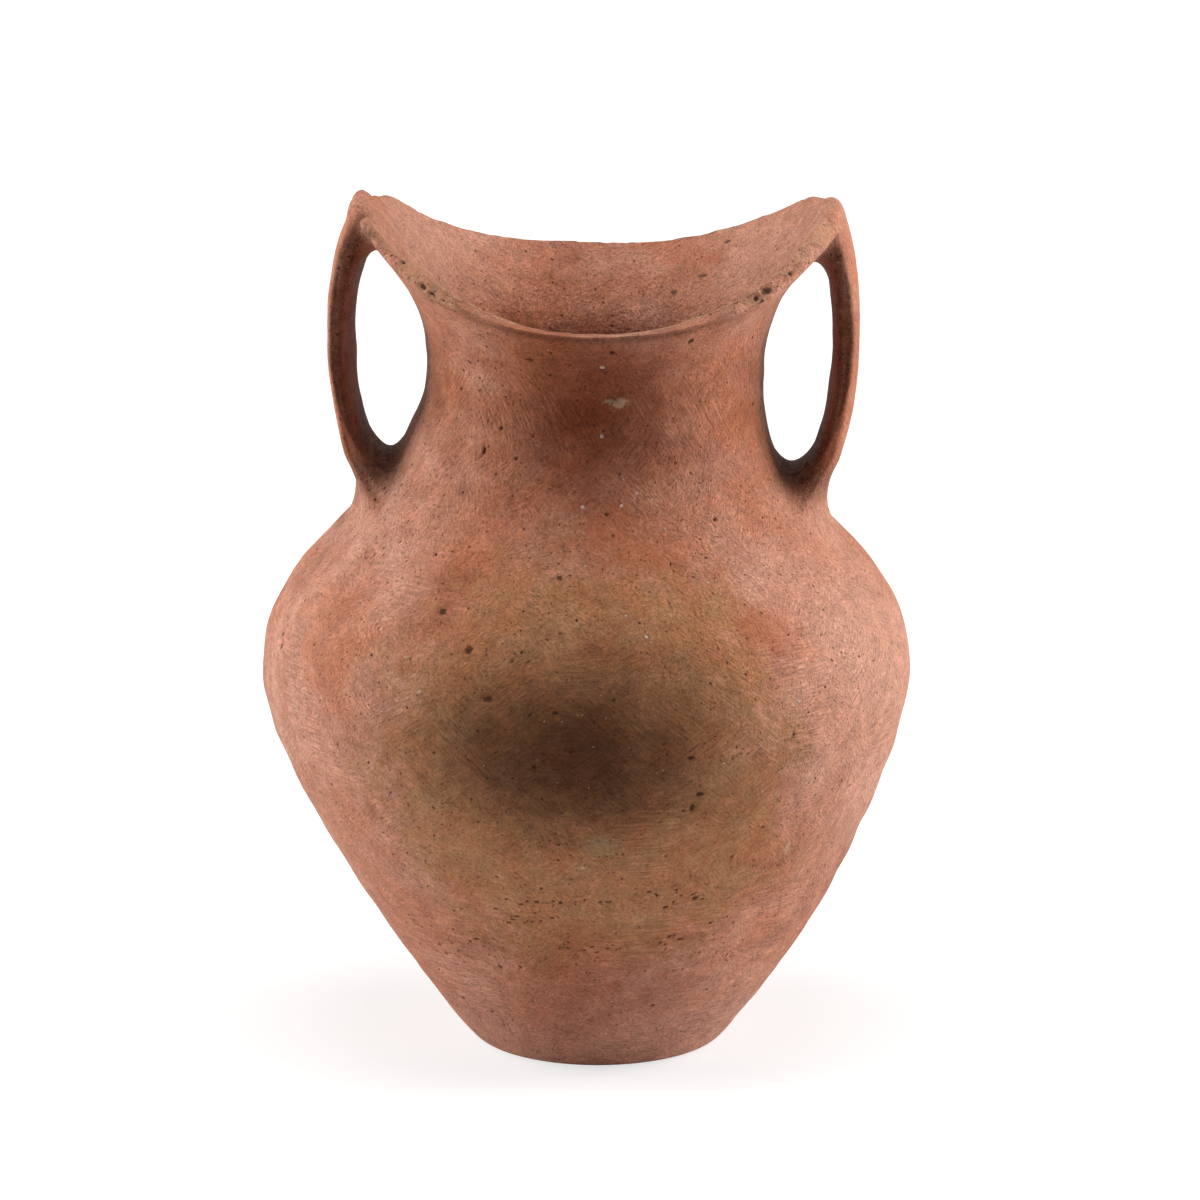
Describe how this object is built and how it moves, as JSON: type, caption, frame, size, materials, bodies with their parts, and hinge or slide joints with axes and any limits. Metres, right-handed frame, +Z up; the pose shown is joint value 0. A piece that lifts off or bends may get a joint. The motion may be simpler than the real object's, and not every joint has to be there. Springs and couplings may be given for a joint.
{
  "type": "burnished pottery jar",
  "caption": "Hand-built burnished earthenware jar with a saddle mouth, flared neck, strap handles from rim to shoulder, round belly and small flat base, for holding and pouring liquid.",
  "frame": {"origin": "middle of the flat underside of the base slab, on the surface that the jar stands on", "axes": "+Z up the jar, -Y towards the front (a low side of the saddle mouth), handles on -X (left) and +X (right)"},
  "size_m": [0.2586, 0.2586, 0.3467],
  "materials": {
    "burnished_clay": "burnished satin, fire-clouded",
    "rim_clay": "burnished satin, worn edge",
    "handle_clay": "burnished satin",
    "base_clay": "smoothed, worn"
  },
  "bodies": {
    "root": {"base_slab": "base_clay", "wall_coil_01": "burnished_clay", "wall_coil_02": "burnished_clay", "wall_coil_03": "burnished_clay", "wall_coil_04": "burnished_clay", "wall_coil_05": "burnished_clay", "wall_coil_06": "burnished_clay", "wall_coil_07": "burnished_clay", "wall_coil_08": "burnished_clay", "wall_coil_09": "burnished_clay", "wall_coil_10": "burnished_clay", "wall_coil_11": "burnished_clay", "wall_coil_12": "burnished_clay", "wall_coil_13": "burnished_clay", "saddle_rim": "rim_clay", "left_handle": "handle_clay", "left_top_wad": "handle_clay", "left_foot_wad": "handle_clay", "right_handle": "handle_clay", "right_top_wad": "handle_clay", "right_foot_wad": "handle_clay"}
  },
  "joints": []
}
